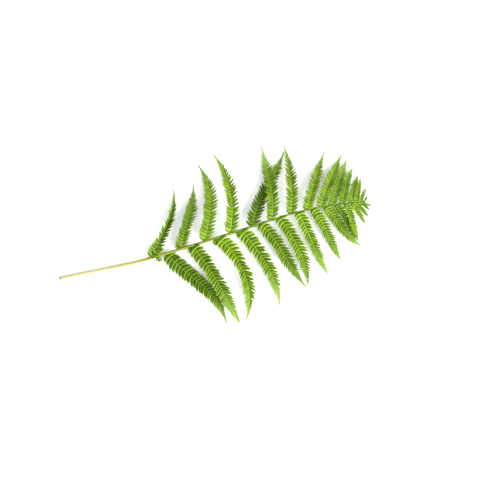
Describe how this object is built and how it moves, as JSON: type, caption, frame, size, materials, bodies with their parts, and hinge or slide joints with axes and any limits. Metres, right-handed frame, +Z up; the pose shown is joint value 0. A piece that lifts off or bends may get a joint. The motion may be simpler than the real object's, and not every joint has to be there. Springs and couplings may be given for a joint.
{
  "type": "bracken frond",
  "caption": "Cut fern frond lying flat: straw-coloured stalk, arched green blade of narrow side leaflets cut like combs, resting on its stalk and drooping leaf tips.",
  "frame": {"origin": "on the table, in the middle of the small flat spot under the stalk's cut end", "axes": "+X along the stalk from its cut end to the frond's tip, +Y to the stalk's left, +Z up"},
  "size_m": [0.3905, 0.2089, 0.0215],
  "materials": {
    "straw_stalk": "smooth, satin, pale straw yellow, tan-brown near the first leaflets",
    "leaf_green": "soft satin leaf, bright yellow-green, darker towards the root"
  },
  "bodies": {
    "root": {"stipe": "straw_stalk", "blade": "leaf_green"}
  },
  "joints": []
}
